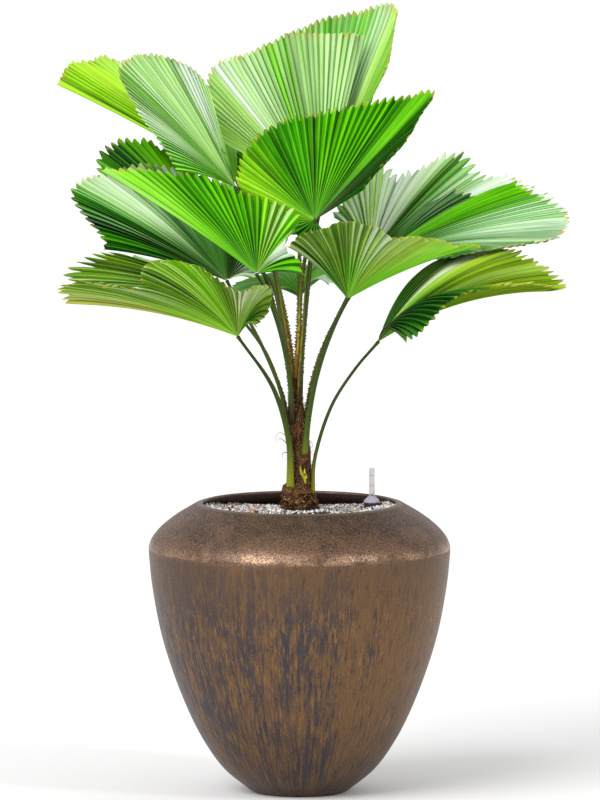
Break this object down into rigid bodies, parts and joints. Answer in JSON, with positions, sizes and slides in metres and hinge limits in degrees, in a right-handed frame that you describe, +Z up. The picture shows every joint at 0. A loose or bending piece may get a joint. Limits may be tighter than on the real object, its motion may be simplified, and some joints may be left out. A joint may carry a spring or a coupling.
{
  "type": "potted ruffled fan palm",
  "caption": "Fan palm with round pleated blades on slender stalks, on a short fibrous trunk in a bronze-coloured round pot with pale gravel and a water gauge.",
  "frame": {"origin": "centre of the pot's flat underside", "axes": "+Z up along the pot's axis, +X to the right of the pictured view, -Y towards the viewer"},
  "size_m": [0.8579, 0.7234, 1.3031],
  "materials": {
    "pot_glaze": "metallic bronze glaze with ochre and slate streaks, satin",
    "soil": "dark potting soil",
    "gravel": "small pale pebbles",
    "gauge_dark": "dark plum plastic",
    "gauge_clear": "clear plastic tube and bell",
    "trunk_fibre": "matted brown fibre",
    "leaf_stalk": "smooth green stalk with small brown spines",
    "leaf_blade": "glossy pleated green leaf"
  },
  "bodies": {
    "root": {"pot": "pot_glaze", "soil": "soil", "gravel": "gravel", "gauge_base": "gauge_dark", "gauge_bell": "gauge_clear", "gauge_tube": "gauge_clear", "trunk": "trunk_fibre", "stalk_low_left_front": "leaf_stalk", "stalk_low_left_back": "leaf_stalk", "stalk_left_front": "leaf_stalk", "stalk_left_middle": "leaf_stalk", "stalk_left_back": "leaf_stalk", "stalk_top_left_front": "leaf_stalk", "stalk_top_left_back": "leaf_stalk", "stalk_top_front": "leaf_stalk", "stalk_top_young": "leaf_stalk", "stalk_top_back": "leaf_stalk", "stalk_right_front": "leaf_stalk", "stalk_right_middle": "leaf_stalk", "stalk_right_back": "leaf_stalk", "stalk_low_right": "leaf_stalk", "stalk_back_low": "leaf_stalk", "stalk_back_left": "leaf_stalk", "stalk_back_right": "leaf_stalk", "stalk_back_top": "leaf_stalk", "blade_low_left_front": "leaf_blade", "blade_low_left_back": "leaf_blade", "blade_left_front": "leaf_blade", "blade_left_middle": "leaf_blade", "blade_left_back": "leaf_blade", "blade_top_left_front": "leaf_blade", "blade_top_left_back": "leaf_blade", "blade_top_front": "leaf_blade", "blade_top_young": "leaf_blade", "blade_top_back": "leaf_blade", "blade_right_front": "leaf_blade", "blade_right_middle": "leaf_blade", "blade_right_back": "leaf_blade", "blade_low_right": "leaf_blade", "blade_back_low": "leaf_blade", "blade_back_left": "leaf_blade", "blade_back_right": "leaf_blade", "blade_back_top": "leaf_blade"}
  },
  "joints": []
}
